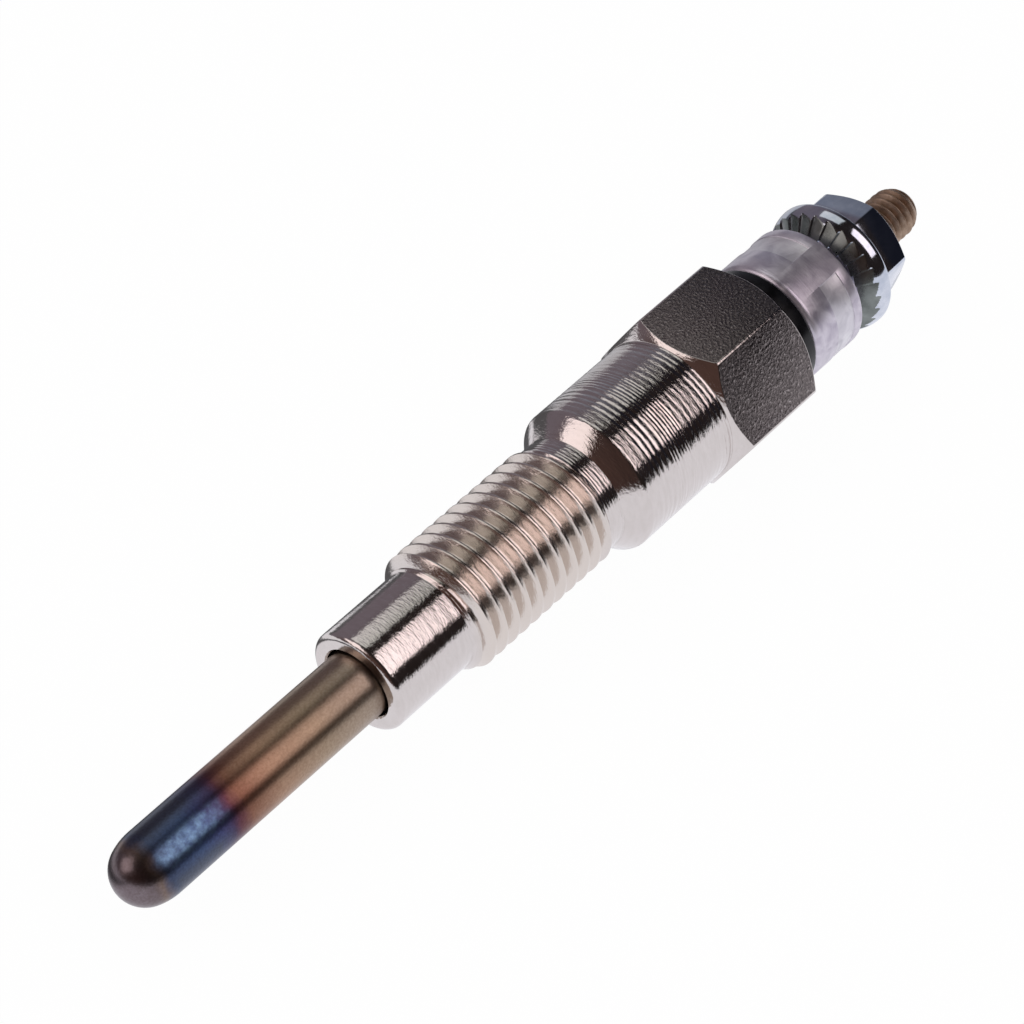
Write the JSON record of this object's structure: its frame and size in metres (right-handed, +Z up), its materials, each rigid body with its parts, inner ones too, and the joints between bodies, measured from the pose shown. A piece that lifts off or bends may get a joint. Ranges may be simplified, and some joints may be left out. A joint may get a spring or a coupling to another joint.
{
  "type": "diesel glow plug",
  "caption": "Screw-in heater plug for a diesel engine: closed glow tube, threaded shell with taper seat and hexagon, insulated screw terminal with a serrated flange nut.",
  "frame": {"origin": "centre of the footprint of the bounding box, on the table the plug lies on", "axes": "+X along the plug from the tip towards the terminal, with the tip about 1.5 degrees lower; +Z up; one hexagon flat faces straight down apart from that tilt"},
  "size_m": [0.086, 0.0142, 0.0126],
  "materials": {
    "nickel_plate": "bright nickel plate over turned steel",
    "tube_alloy": "satin, heat tinted blue, violet and straw towards the tip",
    "heater_wire": "drawn wire",
    "control_wire": "drawn wire",
    "magnesia": "packed powder",
    "rod_steel": "rolled thread with a bronze tarnish",
    "seal_rubber": "matt",
    "black_moulding": "glossy moulding",
    "ring_aluminium": "dull, pressed",
    "nut_zinc": "bright zinc plate with a blue passivate"
  },
  "bodies": {
    "root": {"shell": "nickel_plate", "glow_tube": "tube_alloy", "heating_coil": "heater_wire", "control_coil": "control_wire", "magnesia_sleeve": "magnesia", "magnesia_core": "magnesia", "centre_rod": "rod_steel", "tube_seal": "seal_rubber", "rod_seal": "seal_rubber", "insulator": "black_moulding", "clamp_ring": "ring_aluminium", "terminal_nut": "nut_zinc"}
  },
  "joints": []
}
